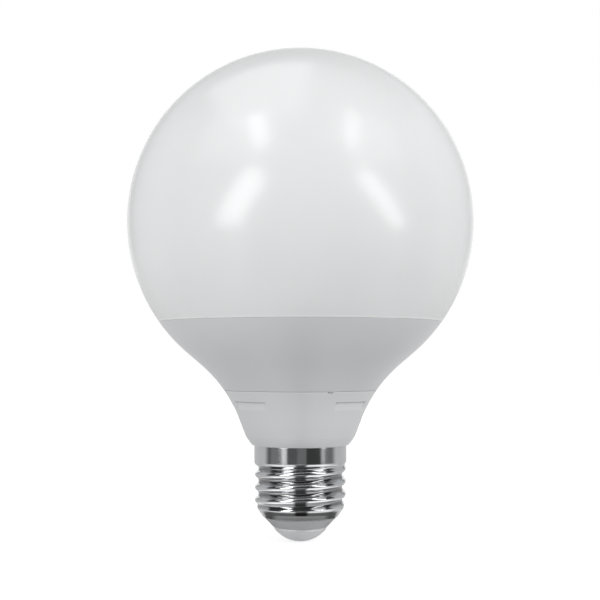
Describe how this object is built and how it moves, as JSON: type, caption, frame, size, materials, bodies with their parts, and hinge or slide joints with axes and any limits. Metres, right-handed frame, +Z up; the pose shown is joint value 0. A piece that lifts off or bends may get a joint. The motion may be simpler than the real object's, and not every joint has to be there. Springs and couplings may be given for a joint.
{
  "type": "globe lamp",
  "caption": "Opal globe lamp on a tapered white plastic base with a 27 mm screw cap, for a standard screw lampholder.",
  "frame": {"origin": "tip of the centre contact, on the lamp's axis, where the lampholder's contact presses", "axes": "+Z up along the lamp's axis from the cap to the globe, -Y is the front, the side that the picture shows"},
  "size_m": [0.1, 0.1, 0.1418],
  "materials": {
    "opal_globe": "smooth opal white, softly glossy",
    "white_housing": "satin moulded white",
    "nickel_cap": "bright nickel-plated rolled sheet",
    "insulator": "pale grey moulded",
    "contact": "dull nickel-plated"
  },
  "bodies": {
    "root": {"globe": "opal_globe", "housing": "white_housing", "collar": "white_housing", "screw_cap": "nickel_cap", "insulator": "insulator", "centre_contact": "contact"}
  },
  "joints": []
}
